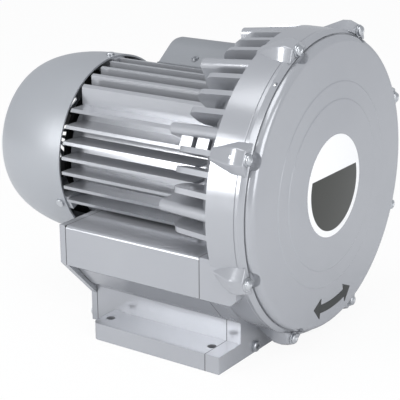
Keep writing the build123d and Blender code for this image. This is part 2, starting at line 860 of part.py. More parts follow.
def fan_cowl():
    body = cowl_shape(0) - cowl_shape(cowl_thickness)
    slot = Pos(cowl_rear_x + 1, 0, axis_height + 31) * Box(8, 3.2, 30)
    slot = fillet(slot.edges().filter_by(Axis.X), 1.5)
    body = body - [turn_to(15 * i) * slot for i in range(24)]
    return body - cowl_screw_holes()


def cowl_screws():
    head = Pos(cowl_rim_x - cowl_screw_inset, 0, axis_height + cowl_radius + 1) * Cylinder(3.6, 2)
    head = fillet(head.edges().filter_by(GeomType.CIRCLE).sort_by(Axis.Z)[-1], 0.9)
    shank = Pos(cowl_rim_x - cowl_screw_inset, 0, axis_height + cowl_radius - 5) * Cylinder(2, 10)
    return group([turn_to(-a) * (head + shank) for a in cowl_screw_angles])


# ---- terminal box ----
def box_middle():
    return (box_rear_x + box_front_x) / 2, (box_near_y + box_far_y) / 2


def box_floor_z():
    return box_seat_height + box_wall


def base_rim_z():
    return box_seat_height + box_base_height


def lid_seat_z():
    return base_rim_z() + gasket_thickness


def terminal_box():
    rim = base_rim_z()
    body = block(box_rear_x, box_front_x, box_near_y, box_far_y, box_seat_height, rim)
    body = fillet(body.edges().filter_by(Axis.Z), 2 * box_wall)
    w = box_wall
    body = body - block(box_rear_x + w, box_front_x - w, box_near_y + w, box_far_y - w, box_floor_z(), rim)
    posts = [Pos(x, y, (box_seat_height + rim) / 2) * Cylinder(lid_screw_radius * 2, box_base_height)
             for x, y in lid_screw_spots()]
    return body + posts - lid_screw_holes(rim - 8, rim) - gland_ring(-2 * box_wall, 0, gland_neck())


def terminal_box_gasket():
    low, high = base_rim_z(), lid_seat_z()
    w = box_wall
    body = block(box_rear_x + 0.4, box_front_x - 0.4, box_near_y + 0.4, box_far_y - 0.4, low, high)
    hole = block(box_rear_x + w, box_front_x - w, box_near_y + w, box_far_y - w, low, high)
    return body - hole


def lid_outline(inset):
    """Vaulted cross-section of the lid as (y, z) points."""
    middle = box_middle()[1]
    seat, rim = lid_seat_z(), lid_seat_z() + lid_rim_height
    crown = lid_top_height - inset
    half = (box_far_y - box_near_y) / 2 - inset
    if inset:
        return [(middle - half, seat), (middle - lid_crown_half_width, crown),
                (middle + lid_crown_half_width, crown), (middle + half, seat)]
    step = half - lid_rim_step
    return [(middle - half, seat), (middle - half, rim), (middle - step, rim),
            (middle - lid_crown_half_width, crown), (middle + lid_crown_half_width, crown),
            (middle + step, rim), (middle + half, rim), (middle + half, seat)]


def terminal_box_cover():
    body = section(lid_outline(0), box_rear_x, box_front_x)
    body = fillet(body.edges().filter_by(Axis.X).group_by(Axis.Z)[-1], lid_crown_round)
    body = body - section(lid_outline(2 * box_wall), box_rear_x + box_wall, box_front_x - box_wall)
    wells = [Pos(x, y, lid_top_height) * Cylinder(lid_screw_radius * 2, 2 * (lid_top_height - lid_screw_seat()))
             for x, y in lid_screw_spots()]
    posts = [Pos(x, y, (lid_seat_z() + lid_screw_seat()) / 2)
             * Cylinder(lid_screw_radius * 2, lid_screw_seat() - lid_seat_z()) for x, y in lid_screw_spots()]
    return body - wells + posts - lid_screw_holes(lid_seat_z(), lid_screw_seat())


def lid_screw_seat():
    return lid_seat_z() + 3 * lid_rim_height


def lid_screw_spots():
    """One screw on each slope of the lid."""
    return [(lid_screw_x, box_near_y + lid_screw_inset), (lid_screw_x, box_far_y - lid_screw_inset)]


def lid_screw_holes(z0, z1):
    return Part() + [Pos(x, y, (z0 + z1) / 2) * Cylinder(lid_screw_radius, z1 - z0)
                     for x, y in lid_screw_spots()]


def lid_screws():
    seat = lid_screw_seat()
    heads = Part() + [Pos(x, y, seat + lid_rim_height / 2) * Cylinder(lid_screw_radius * 1.9, lid_rim_height)
                      for x, y in lid_screw_spots()]
    return group([heads + lid_screw_holes(base_rim_z() - 6, seat)])


def run_capacitor():
    x, y = box_middle()
    can_radius = 10.5
    return Pos(x + 22, y + 3, box_floor_z() + can_radius) * Rot(0, 90, 0) * Cylinder(can_radius, 30)


def terminal_block():
    x, y = box_middle()
    body = block(x - 22, x - 8, y - 18, y + 18, box_floor_z(), box_floor_z() + 8)
    walls = [block(x - 22, x - 8, y + k - 0.6, y + k + 0.6, box_floor_z(), box_floor_z() + 11)
             for k in (-17.4, -5.8, 5.8, 17.4)]
    return body + walls


def terminal_studs():
    x, y = box_middle()
    z = box_floor_z() + 8
    studs = []
    for k in (-11.6, 0, 11.6):
        bolt = Pos(x - 15, y + k, z + 2.5) * Cylinder(2, 5)
        nut = Pos(x - 15, y + k, z) * extrude(RegularPolygon(4, 6), 2.5)
        studs.append(bolt + nut)
    return group(studs)


def gland_neck():
    return Circle(gland_radius - 1.5)


def gland_ring(near, far, outline):
    """Run of the gland on the far wall, from near to far along Y, counted from that wall."""
    x = box_middle()[0]
    plane = Plane((x, box_far_y + near, box_seat_height + box_base_height / 2),
                  x_dir=(1, 0, 0), z_dir=(0, 1, 0))
    return extrude(plane * outline, far - near)


def cable_gland():
    neck = gland_ring(-box_wall, 0, gland_neck())
    nut = gland_ring(0, 4, RegularPolygon(gland_radius, 6, major_radius=False))
    dome = gland_ring(4, 12, Circle(gland_radius - 0.8))
    return neck + nut + dome - gland_ring(-box_wall, 12, Circle(gland_bore_radius))


def write(name, part):
    export_step(part, f"parts/{name}.step")


os.makedirs("parts", exist_ok=True)
pieces = {
    "base_casting": base_casting, "saddle_screws": saddle_screws, "base_screws": base_screws,
    "duct_gasket": duct_gasket, "silencer_foam": silencer_foam,
    "rear_port_plate": rear_port_plate, "port_plate_gasket": port_plate_gasket,
    "port_plate_screws": port_plate_screws, "pump_housing": pump_housing,
    "front_end_shield": front_end_shield, "housing_screws": housing_screws,
    "pump_cover": pump_cover, "cover_gasket": cover_gasket, "cover_screws": cover_screws,
    "cover_washers": cover_washers, "locating_pins": locating_pins,
    "cover_label_plate": cover_label_plate, "motor_frame": motor_frame,
    "stator_core": stator_core, "stator_windings": stator_windings,
    "rear_end_shield": rear_end_shield, "tie_bolts": tie_bolts, "wave_washer": wave_washer,
    "bearing_outer_rings": bearing_outer_rings, "bearing_inner_rings": bearing_inner_rings,
    "bearing_balls": bearing_balls, "shaft_seal": shaft_seal, "rotor_shaft": rotor_shaft,
    "rotor_core": rotor_core, "cage_end_rings": cage_end_rings, "impeller": impeller,
    "impeller_key": impeller_key, "impeller_washer": impeller_washer,
    "impeller_nut": impeller_nut, "cooling_fan": cooling_fan, "fan_circlip": fan_circlip,
    "fan_cowl": fan_cowl, "cowl_screws": cowl_screws, "terminal_box": terminal_box,
    "terminal_box_gasket": terminal_box_gasket, "terminal_box_cover": terminal_box_cover,
    "run_capacitor": run_capacitor, "terminal_block": terminal_block,
    "terminal_studs": terminal_studs, "lid_screws": lid_screws, "cable_gland": cable_gland,
}
for name, build in pieces.items():
    write(name, build())
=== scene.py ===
# Side channel blower: finishes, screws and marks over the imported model, with its light, floor and camera.
from math import cos, radians, sin, tau

import bmesh
import bpy
from mathutils import Matrix, Vector


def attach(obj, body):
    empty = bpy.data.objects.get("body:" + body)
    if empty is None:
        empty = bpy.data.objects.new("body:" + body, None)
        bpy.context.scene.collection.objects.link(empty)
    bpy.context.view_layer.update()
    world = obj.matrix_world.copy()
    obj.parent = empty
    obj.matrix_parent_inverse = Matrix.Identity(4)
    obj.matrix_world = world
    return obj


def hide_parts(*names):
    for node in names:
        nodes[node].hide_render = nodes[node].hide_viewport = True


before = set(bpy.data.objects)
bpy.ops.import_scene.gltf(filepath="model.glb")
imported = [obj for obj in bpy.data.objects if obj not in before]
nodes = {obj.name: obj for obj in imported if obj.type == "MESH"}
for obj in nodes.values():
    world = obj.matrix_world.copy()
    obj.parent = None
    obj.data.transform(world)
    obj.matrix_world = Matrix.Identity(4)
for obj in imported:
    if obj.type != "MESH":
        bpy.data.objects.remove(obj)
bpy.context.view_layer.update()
axisHeight = 0.126     # motor axis above the floor
weldDistance = 1e-6    # points nearer than this are one point
print("frame loaded:", len(nodes), "nodes")


def linear(hexColour):
    parts = [int(hexColour[i:i + 2], 16) / 255 for i in (1, 3, 5)]
    return tuple(c / 12.92 if c <= 0.04045 else ((c + 0.055) / 1.055) ** 2.4 for c in parts) + (1,)


def addNode(tree, kind, inputs=None, **settings):
    # an input is a plain value, or the output socket it is linked to
    node = tree.nodes.new(kind)
    for name, value in settings.items():
        setattr(node, name, value)
    for name, value in (inputs or {}).items():
        if isinstance(value, bpy.types.NodeSocket):
            tree.links.new(value, node.inputs[name])
        else:
            node.inputs[name].default_value = value
    return node


def emptyMaterial(name):
    material = bpy.data.materials.new(name)
    material.use_nodes = True
    material.node_tree.nodes.clear()
    return material


def mottled(name, light, dark, patchMm, grainMm, bumpMm, stretch=(1, 1, 1), **surface):
    # two close shades in soft patches, with a fine relief; stretch draws the pattern out along an axis
    material = emptyMaterial(name)
    tree = material.node_tree
    place = addNode(tree, "ShaderNodeTexCoord").outputs["Object"]
    drawn = addNode(tree, "ShaderNodeMapping", {"Vector": place, "Scale": stretch}).outputs[0]
    patches = addNode(tree, "ShaderNodeTexNoise", {"Vector": drawn, "Scale": 1000 / patchMm, "Detail": 3.0})
    grain = addNode(tree, "ShaderNodeTexNoise", {"Vector": drawn, "Scale": 1000 / grainMm, "Detail": 2.0})
    shade = addNode(tree, "ShaderNodeMix", {0: patches.outputs[0], 6: linear(light), 7: linear(dark)},
                    data_type="RGBA")
    relief = addNode(tree, "ShaderNodeBump", {"Height": grain.outputs[0], "Distance": bumpMm / 1000})
    shader = addNode(tree, "ShaderNodeBsdfPrincipled", {"Base Color": shade.outputs[2],
                                                        "Normal": relief.outputs[0], **surface})
    addNode(tree, "ShaderNodeOutputMaterial", {"Surface": shader.outputs[0]})
    return material


# silver stoving enamel on die-cast aluminium: an even grey with a clear gloss and a faint orange peel
castingEnamel = mottled("castingEnamel", "#b3b5b9", "#a9abb0", 70, 2.5, 0.02, Metallic=0.4, Roughness=0.2)
# the same enamel on pressed sheet, smoother because the sheet under it is
sheetEnamel = mottled("sheetEnamel", "#aeb1b5", "#a8abb0", 120, 4.0, 0.01, Metallic=0.35, Roughness=0.32)
# satin enamel on the terminal box: darker and less glossy than the castings
boxEnamel = mottled("boxEnamel", "#94979b", "#8d9095", 50, 1.5, 0.02, Metallic=0.2, Roughness=0.45)
# bright zinc plate: a cool white metal with a faint crystal mottle
zincPlate = mottled("zincPlate", "#d3d5d8", "#b9bcc0", 2.0, 0.8, 0.005, Metallic=1.0, Roughness=0.28)
# ground bearing steel: mid grey, with fine grinding lines round it
groundSteel = mottled("groundSteel", "#bdbec0", "#a7a9ac", 1.2, 0.6, 0.003, (6, 1, 1), Metallic=1.0,
                      Roughness=0.25)
# stacked electrical steel: the sheet edges show as fine lines across the axis, drawn 1 mm apart
sheetStack = mottled("sheetStack", "#6e7176", "#3f4247", 1.0, 1.0, 0.03, (8, 0.4, 0.4), Metallic=0.8,
                     Roughness=0.5)
# enamelled copper wire under varnish: warm brown-red with a wet gloss
varnishedCopper = mottled("varnishedCopper", "#b5673a", "#7d3b1c", 1.6, 1.2, 0.15, Metallic=0.7,
                          Roughness=0.3)
# machined cast aluminium: pale, with turning lines
turnedAluminium = mottled("turnedAluminium", "#d0d2d4", "#b4b7ba", 1.5, 1.0, 0.01, (4, 1, 1), Metallic=1.0,
                          Roughness=0.35)
# black nitrile sheet: nearly matt, with a fine talc bloom
nitrileRubber = mottled("nitrileRubber", "#1d1d1e", "#272728", 4.0, 0.8, 0.02, Roughness=0.75)
# open-cell polyurethane foam: charcoal with 2 mm cells
openFoam = mottled("openFoam", "#3c3d40", "#151517", 2.0, 2.0, 1.2, Roughness=0.95)
# moulded glass-filled nylon: black, faintly grained
mouldedNylon = mottled("mouldedNylon", "#1b1c1d", "#242526", 8.0, 0.6, 0.015, Roughness=0.5)
# moulded phenolic: cream and slightly glossy
creamPhenolic = mottled("creamPhenolic", "#d8cfb6", "#cabf9f", 6.0, 0.8, 0.01, Roughness=0.4)
# nickelled brass: yellow metal with a soft shine
turnedBrass = mottled("turnedBrass", "#c8a45c", "#a8853f", 1.5, 0.6, 0.005, Metallic=1.0, Roughness=0.3)
# capacitor can: pale grey moulded polypropylene
canPolypropylene = mottled("canPolypropylene", "#cfd1d3", "#c2c4c7", 20, 1.0, 0.01, Roughness=0.4)


def labelFilm():
    # printed film under a clear gloss: white, with a charcoal field below a level line and a white rim
    field = {"radius": 0.035, "levelTop": 0.0103, "rimBlur": 0.0003}
    material = emptyMaterial("labelFilm")
    tree = material.node_tree
    place = addNode(tree, "ShaderNodeTexCoord").outputs["Object"]
    centred = addNode(tree, "ShaderNodeMapping", {"Vector": place,
                      "Location": (0, 0, -axisHeight)}).outputs[0]
    flat = addNode(tree, "ShaderNodeVectorMath", {0: centred, 1: (0, 1, 1)}, operation="MULTIPLY").outputs[0]
    reach = addNode(tree, "ShaderNodeVectorMath", {0: flat}, operation="LENGTH").outputs["Value"]
    height = addNode(tree, "ShaderNodeSeparateXYZ", {0: centred}).outputs["Z"]
    inside = addNode(tree, "ShaderNodeMapRange", {"Value": reach, "From Min": field["radius"],
                     "From Max": field["radius"] + field["rimBlur"], "To Min": 1.0,
                     "To Max": 0.0}).outputs[0]
    below = addNode(tree, "ShaderNodeMapRange", {"Value": height, "From Min": field["levelTop"],
                    "From Max": field["levelTop"] + field["rimBlur"], "To Min": 1.0,
                    "To Max": 0.0}).outputs[0]
    inField = addNode(tree, "ShaderNodeMath", {0: inside, 1: below}, operation="MULTIPLY").outputs[0]
    speckle = addNode(tree, "ShaderNodeTexNoise", {"Vector": place, "Scale": 900.0}).outputs[0]
    white = addNode(tree, "ShaderNodeMix", {0: speckle, 6: linear("#fafafa"), 7: linear("#f2f2f2")},
                    data_type="RGBA").outputs[2]
    charcoal = addNode(tree, "ShaderNodeMix", {0: speckle, 6: linear("#373833"), 7: linear("#2e2f2b")},
                       data_type="RGBA").outputs[2]
    printed = addNode(tree, "ShaderNodeMix", {0: inField, 6: white, 7: charcoal},
                      data_type="RGBA").outputs[2]
    shader = addNode(tree, "ShaderNodeBsdfPrincipled", {"Base Color": printed, "Roughness": 0.3})
    addNode(tree, "ShaderNodeOutputMaterial", {"Surface": shader.outputs[0]})
    return material


labelFinish = labelFilm()
finishes = {
    castingEnamel: ["base_casting", "rear_port_plate", "pump_housing", "front_end_shield", "pump_cover",
                    "motor_frame", "rear_end_shield"],
    sheetEnamel: ["fan_cowl"],
    boxEnamel: ["terminal_box", "terminal_box_cover"],
    zincPlate: ["saddle_screws", "base_screws", "port_plate_screws", "housing_screws", "cover_screws",
                "cover_washers", "tie_bolts", "cowl_screws", "lid_screws", "impeller_washer",
                "impeller_nut"],
    groundSteel: ["locating_pins", "rotor_shaft", "impeller_key", "fan_circlip", "wave_washer",
                  "bearing_outer_rings", "bearing_inner_rings", "bearing_balls"],
    sheetStack: ["stator_core", "rotor_core"],
    varnishedCopper: ["stator_windings"],
    turnedAluminium: ["impeller", "cage_end_rings"],
    nitrileRubber: ["duct_gasket", "port_plate_gasket", "cover_gasket", "terminal_box_gasket", "shaft_seal"],
    openFoam: ["silencer_foam"],
    labelFinish: ["cover_label_plate"],
    mouldedNylon: ["cooling_fan", "cable_gland"],
    creamPhenolic: ["terminal_block"],
    turnedBrass: ["terminal_studs"],
    canPolypropylene: ["run_capacitor"],
}
for finish, names in finishes.items():
    for name in names:
        nodes[name].data.materials.clear()
        nodes[name].data.materials.append(finish)
print("finishes set on", sum(len(names) for names in finishes.values()), "nodes")


def toPiece(name, shape, finish, smoothAngle=35):
    # closes a bmesh into an object that is smooth except at its sharp edges
    bmesh.ops.remove_doubles(shape, verts=shape.verts, dist=weldDistance)
    bmesh.ops.recalc_face_normals(shape, faces=shape.faces)
    mesh = bpy.data.meshes.new(name)
    shape.to_mesh(mesh)
    shape.free()
    mesh.materials.append(finish)
    mesh.polygons.foreach_set("use_smooth", [True] * len(mesh.polygons))
    mesh.set_sharp_from_angle(angle=radians(smoothAngle))
    piece = bpy.data.objects.new(name, mesh)
    bpy.context.collection.objects.link(piece)
    return piece


def spunShape(profile, steps):
    # closed solid of revolution from (x, radius) points, about the X axis
    shape = bmesh.new()
    rings = []
    for x, r in profile:
        if r < weldDistance:
            rings.append([shape.verts.new((x, 0, 0))] * steps)
        else:
            rings.append([shape.verts.new((x, r * sin(tau * i / steps), r * cos(tau * i / steps)))
                          for i in range(steps)])
    for near, far in zip(rings, rings[1:] + rings[:1]):
        for i in range(steps):
            j = (i + 1) % steps
            corners = []
            for vertex in (near[i], near[j], far[j], far[i]):
                if vertex not in corners:
                    corners.append(vertex)
            if len(corners) > 2:
                shape.faces.new(corners)
    return shape


def arcPoints(centreX, centreR, radius, start, end, steps):
    # angles in degrees from +X towards larger radii
    turns = [radians(start + (end - start) * i / steps) for i in range(steps + 1)]
    return [(centreX + radius * cos(t), centreR + radius * sin(t)) for t in turns]


def cutAway(piece, tool):
    # cuts the tool out of the piece at once and drops the tool
    boolean = piece.modifiers.new("cut", "BOOLEAN")
    boolean.object = tool
    boolean.operation = "DIFFERENCE"
    boolean.solver = "EXACT"
    done = bpy.data.meshes.new_from_object(piece.evaluated_get(bpy.context.evaluated_depsgraph_get()))
    piece.modifiers.clear()
    piece.data = done
    bpy.data.objects.remove(tool)


def coverPoint(radius, angle, x):
    # angle in degrees from straight down, towards +Y
    turn = radians(angle)
    return Vector((x, radius * sin(turn), axisHeight - radius * cos(turn)))


def directionArrow():
    arrow = {"radius": 0.0975, "halfBand": 0.0033, "halfHead": 0.0082, "start": -15.0, "end": 19.0,
             "headAngle": 6.0, "face": 0.0987, "thickness": 0.0004, "steps": 24}
    inner, outer = [], []
    low, high = arrow["start"] + arrow["headAngle"], arrow["end"] - arrow["headAngle"]
    for i in range(arrow["steps"] + 1):
        angle = low + (high - low) * i / arrow["steps"]
        inner.append((arrow["radius"] - arrow["halfBand"], angle))
        outer.append((arrow["radius"] + arrow["halfBand"], angle))
    tipA = [(arrow["radius"] + arrow["halfHead"], low), (arrow["radius"], arrow["start"]),
            (arrow["radius"] - arrow["halfHead"], low)]
    tipB = [(arrow["radius"] - arrow["halfHead"], high), (arrow["radius"], arrow["end"]),
            (arrow["radius"] + arrow["halfHead"], high)]
    outline = inner + tipB + outer[::-1] + tipA
    shape = bmesh.new()
    bottom = [shape.verts.new(coverPoint(r, a, arrow["face"])) for r, a in outline]
    face = shape.faces.new(bottom)
    raised = bmesh.ops.extrude_face_region(shape, geom=[face])
    top = [v for v in raised["geom"] if isinstance(v, bmesh.types.BMVert)]
    bmesh.ops.translate(shape, verts=top, vec=(arrow["thickness"], 0, 0))
    bmesh.ops.triangulate(shape, faces=shape.faces)
    bmesh.ops.recalc_face_normals(shape, faces=shape.faces)
    mesh = bpy.data.meshes.new("directionArrow")
    shape.to_mesh(mesh)
    shape.free()
    piece = bpy.data.objects.new("directionArrow", mesh)
    bpy.context.collection.objects.link(piece)
    # charcoal screen-printing ink: thin, flat and a little uneven
    mesh.materials.append(mottled("screenInk", "#2b2d2c", "#363837", 3.0, 1.0, 0.01, Roughness=0.5))
    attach(piece, "root")


directionArrow()
print("direction arrow made")


coverBolts = {"circle": 0.120, "count": 8, "firstAngle": 22.5, "segments": 40}


def boltPlace(index, x):
    turn = radians(coverBolts["firstAngle"] + 360 / coverBolts["count"] * index)
    return Matrix.Translation((x, -coverBolts["circle"] * sin(turn), coverBolts["circle"] * cos(turn)))


def boltRounds(radius, x0, x1):
    # one round bar at every cover screw, from x0 to x1
    shape = bmesh.new()
    for i in range(coverBolts["count"]):
        place = boltPlace(i, (x0 + x1) / 2) @ Matrix.Rotation(radians(90), 4, "Y")
        bmesh.ops.create_cone(shape, cap_ends=True, segments=coverBolts["segments"], radius1=radius,
                              radius2=radius, depth=x1 - x0, matrix=place)
    return toPiece("boltRounds", shape, castingEnamel)


def coverPressing():
    # sizes in metres along the motor axis (x) and out from it (radii)
    cover = {"back": 0.0864, "seatFront": 0.0926, "seatRadius": 0.1182, "chamfer": (0.0036, 0.0026),
             "grooveRadius": 0.1150, "grooveWidth": 0.0007, "grooveDepth": 0.0016,
             "wallRound": 0.0050, "face": 0.0988,
             "stepRise": 0.0005, "stepRadii": (0.0800, 0.0665), "stepRun": 0.0013,
             "cavityRadius": 0.1050, "cavityDepth": 0.0056, "pocketRadius": 0.0090, "holeRadius": 0.0025,
             "edge": 0.0003, "spinSteps": 256, "curvePoints": 12, "smoothAngle": 32}
    edge = cover["edge"]
    x, step = cover["face"], cover["stepRise"]
    wall = cover["grooveRadius"] - cover["grooveWidth"]
    profile = [(cover["back"], cover["seatRadius"]),
               (cover["seatFront"] - cover["chamfer"][0], cover["seatRadius"]),
               (cover["seatFront"] - edge, cover["seatRadius"] - cover["chamfer"][1]),
               (cover["seatFront"], cover["seatRadius"] - cover["chamfer"][1] - edge),
               (cover["seatFront"] - cover["grooveDepth"], cover["grooveRadius"]),
               (cover["seatFront"] - cover["grooveDepth"], wall)]
    profile += arcPoints(x - cover["wallRound"], wall - cover["wallRound"], cover["wallRound"], 90, 0,
                         cover["curvePoints"])
    for radius in cover["stepRadii"]:
        for i in range(cover["curvePoints"] + 1):
            share = i / cover["curvePoints"]
            profile.append((x + step * share * share * (3 - 2 * share),
                            radius + cover["stepRun"] * (0.5 - share)))
        x += step
    profile += [(x, 0), (cover["back"] + cover["cavityDepth"], 0),
                (cover["back"] + cover["cavityDepth"], cover["cavityRadius"]),
                (cover["back"], cover["cavityRadius"])]
    piece = toPiece("coverPressing", spunShape(profile, cover["spinSteps"]), castingEnamel)
    cutAway(piece, boltRounds(cover["pocketRadius"], cover["seatFront"], cover["face"] + 2 * step))
    cutAway(piece, boltRounds(cover["holeRadius"], cover["back"] - step, cover["face"]))
    piece.data.transform(Matrix.Translation((0, 0, axisHeight)))
    piece.data.polygons.foreach_set("use_smooth", [True] * len(piece.data.polygons))
    piece.data.set_sharp_from_angle(angle=radians(cover["smoothAngle"]))
    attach(piece, "root")
    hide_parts("pump_cover")


def labelDisc():
    # the round label, with the film's edge turned down
    label = {"back": 0.0996, "front": 0.1001, "radius": 0.0400, "edge": 0.0003, "spinSteps": 128}
    profile = [(label["back"], 0), (label["back"], label["radius"])]
    profile += arcPoints(label["front"] - label["edge"], label["radius"] - label["edge"], label["edge"],
                         90, 0, 4)
    profile += [(label["front"], 0)]
    piece = toPiece("labelDisc", spunShape(profile, label["spinSteps"]), labelFinish)
    piece.data.transform(Matrix.Translation((0, 0, axisHeight)))
    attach(piece, "root")
    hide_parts("cover_label_plate")


def gasketRing():
    # the sheet gasket between ring and cover, flush inside their edge
    gasket = {"back": 0.0862, "front": 0.0870, "outer": 0.1176, "inner": 0.1055,
              "spinSteps": 128}
    profile = [(gasket["back"], gasket["outer"]), (gasket["front"], gasket["outer"]),
               (gasket["front"], gasket["inner"]), (gasket["back"], gasket["inner"])]
    piece = toPiece("gasketRing", spunShape(profile, gasket["spinSteps"]), nitrileRubber)
    piece.data.transform(Matrix.Translation((0, 0, axisHeight)))
    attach(piece, "root")
    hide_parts("cover_gasket")


labelDisc()
gasketRing()
coverPressing()
print("cover pressing made")


def screwPads():
    # ramps on the ring that rise and widen towards the front, one under every cover screw
    # sections: place along the axis, top radius, half widths at the foot and at the top
    pad = {"foot": 0.1165, "edge": 0.0009, "edgeSteps": 3,
           "sections": ((0.0600, 0.1179, 0.0060, 0.0035), (0.0805, 0.1262, 0.0120, 0.0062),
                        (0.0870, 0.1266, 0.0124, 0.0062), (0.0925, 0.1246, 0.0124, 0.0054))}
    shape = bmesh.new()
    for i in range(coverBolts["count"]):
        turn = Matrix.Rotation(radians(coverBolts["firstAngle"] + 360 / coverBolts["count"] * i), 4, "X")
        rings = []
        for x, top, footHalf, topHalf in pad["sections"]:
            corners = [(x, -footHalf, pad["foot"]), (x, -topHalf, top), (x, topHalf, top),
                       (x, footHalf, pad["foot"])]
            rings.append([shape.verts.new(turn @ Vector(corner)) for corner in corners])
        for near, far in zip(rings, rings[1:]):
            for j in range(4):
                k = (j + 1) % 4
                shape.faces.new((near[j], near[k], far[k], far[j]))
        shape.faces.new(rings[0])
        shape.faces.new(rings[-1])
    shape.transform(Matrix.Translation((0, 0, axisHeight)))
    piece = toPiece("screwPads", shape, castingEnamel)
    bevel = piece.modifiers.new("edges", "BEVEL")
    bevel.width = pad["edge"]
    bevel.segments = pad["edgeSteps"]
    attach(piece, "root")


screwPads()
print("screw pads made")


def panScrew(sizes, finish):
    # one cross-recessed screw along +X, seated at x = 0
    # shares of the head's height or radius, and how many steps it is spun in
    form = {"rim": 0.28, "shoulder": 0.5, "shoulderInset": 0.25, "crownStart": 0.3, "crownRadius": 1.25,
            "slotNarrow": 0.16, "slotWide": 0.80, "slotDepth": 1.1, "slotWidth": 0.26, "spinSteps": 40}
    head, height, shank, length = (sizes[k] for k in ("headRadius", "headHeight", "shankRadius", "length"))
    crown = arcPoints(height - head * form["crownRadius"], 0, head * form["crownRadius"], 48, 0, 7)
    profile = [(0, head), (height * form["rim"], head)]
    profile += arcPoints(height * form["rim"], head - height * form["shoulder"], height * form["shoulder"],
                         80, 40, 4)
    profile += [(px, pr) for px, pr in crown
                if pr < head - height * form["shoulderInset"] and px > height * form["crownStart"]]
    profile += [(-length, 0), (-length, shank), (0, shank)]
    screw = toPiece("panScrew", spunShape(profile, form["spinSteps"]), finish)
    for turn in (0, 90):
        recess = bmesh.new()
        place = Matrix.Rotation(radians(turn), 4, "X") @ Matrix.Translation((height, 0, 0))
        place = place @ Matrix.Rotation(radians(90), 4, "Y") @ Matrix.Diagonal((form["slotWidth"], 1, 1, 1))
        bmesh.ops.create_cone(recess, cap_ends=True, segments=4, radius1=head * form["slotNarrow"],
                              radius2=head * form["slotWide"], depth=height * form["slotDepth"],
                              matrix=place @ Matrix.Rotation(radians(45), 4, "Z"))
        cutAway(screw, toPiece("recess", recess, finish))
    return screw


def screwRingTree():
    # instances of one screw round the motor axis, each given its own turn about its own length
    tree = bpy.data.node_groups.new("screwRing", "GeometryNodeTree")
    for label, kind in (("Screw", "NodeSocketObject"), ("Finish", "NodeSocketMaterial"),
                        ("Count", "NodeSocketInt"), ("Circle Radius", "NodeSocketFloat"),
                        ("First Angle", "NodeSocketFloat"), ("Angle Step", "NodeSocketFloat"),
                        ("Seat X", "NodeSocketFloat"), ("Axis Height", "NodeSocketFloat"),
                        ("Seed", "NodeSocketInt")):
        tree.interface.new_socket(name=label, in_out="INPUT", socket_type=kind)
    tree.interface.new_socket(name="Geometry", in_out="OUTPUT", socket_type="NodeSocketGeometry")
    sizes = addNode(tree, "NodeGroupInput").outputs
    points = addNode(tree, "GeometryNodePoints", {"Count": sizes["Count"]})
    index = addNode(tree, "GeometryNodeInputIndex")
    turned = addNode(tree, "ShaderNodeMath", {0: index.outputs[0], 1: sizes["Angle Step"],
                     2: sizes["First Angle"]}, operation="MULTIPLY_ADD")
    aside = addNode(tree, "ShaderNodeMath", {0: turned.outputs[0]}, operation="SINE")
    upward = addNode(tree, "ShaderNodeMath", {0: turned.outputs[0]}, operation="COSINE")
    reachY = addNode(tree, "ShaderNodeMath", {0: aside.outputs[0], 1: sizes["Circle Radius"]},
                     operation="MULTIPLY")
    sideY = addNode(tree, "ShaderNodeMath", {0: reachY.outputs[0], 1: -1.0}, operation="MULTIPLY")
    reachZ = addNode(tree, "ShaderNodeMath", {0: upward.outputs[0], 1: sizes["Circle Radius"],
                     2: sizes["Axis Height"]}, operation="MULTIPLY_ADD")
    spot = addNode(tree, "ShaderNodeCombineXYZ", {"X": sizes["Seat X"], "Y": sideY.outputs[0],
                   "Z": reachZ.outputs[0]})
    placed = addNode(tree, "GeometryNodeSetPosition", {"Geometry": points.outputs[0],
                     "Position": spot.outputs[0]})
    chance = addNode(tree, "FunctionNodeRandomValue", {"Min": 0.0, "Max": tau, "Seed": sizes["Seed"]})
    spin = addNode(tree, "ShaderNodeCombineXYZ", {"X": chance.outputs[1]})
    screw = addNode(tree, "GeometryNodeObjectInfo", {"Object": sizes["Screw"]})
    rows = addNode(tree, "GeometryNodeInstanceOnPoints", {"Points": placed.outputs[0],
                   "Instance": screw.outputs["Geometry"], "Rotation": spin.outputs[0]})
    solid = addNode(tree, "GeometryNodeRealizeInstances", {0: rows.outputs[0]})
    coated = addNode(tree, "GeometryNodeSetMaterial", {"Geometry": solid.outputs[0],
                     "Material": sizes["Finish"]})
    addNode(tree, "NodeGroupOutput", {"Geometry": coated.outputs[0]})
    return tree


def screwRing(name, node, tree, screw, finish, ring):
    # fills the tree's inputs, keeps the result as a plain mesh and drops the pattern screw
    piece = bpy.data.objects.new(name, bpy.data.meshes.new(name))
    bpy.context.collection.objects.link(piece)
    maker = piece.modifiers.new("screwRing", "NODES")
    maker.node_group = tree
    values = {"Screw": screw, "Finish": finish, "Count": ring["count"], "Circle Radius": ring["circle"],
              "First Angle": radians(ring["firstAngle"]), "Angle Step": radians(ring["angleStep"]),
              "Seat X": ring["seatX"], "Axis Height": axisHeight, "Seed": ring["seed"]}
    for socket in tree.interface.items_tree:
        if socket.in_out == "INPUT":
            maker[socket.identifier] = values[socket.name]
    done = bpy.data.meshes.new_from_object(piece.evaluated_get(bpy.context.evaluated_depsgraph_get()))
    piece.modifiers.clear()
    piece.data = done
    bpy.data.objects.remove(screw)
    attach(piece, "root")
    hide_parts(node)


def flatWasher(sizes, finish):
    # one plain washer along +X, seated at x = 0
    edge = sizes["thickness"] * sizes["edgeShare"]
    profile = [(0, sizes["radius"])]
    profile += arcPoints(sizes["thickness"] - edge, sizes["radius"] - edge, edge, 90, 0, 3)
    profile += [(sizes["thickness"], sizes["bore"]), (0, sizes["bore"])]
    return toPiece("flatWasher", spunShape(profile, sizes["spinSteps"]), finish)


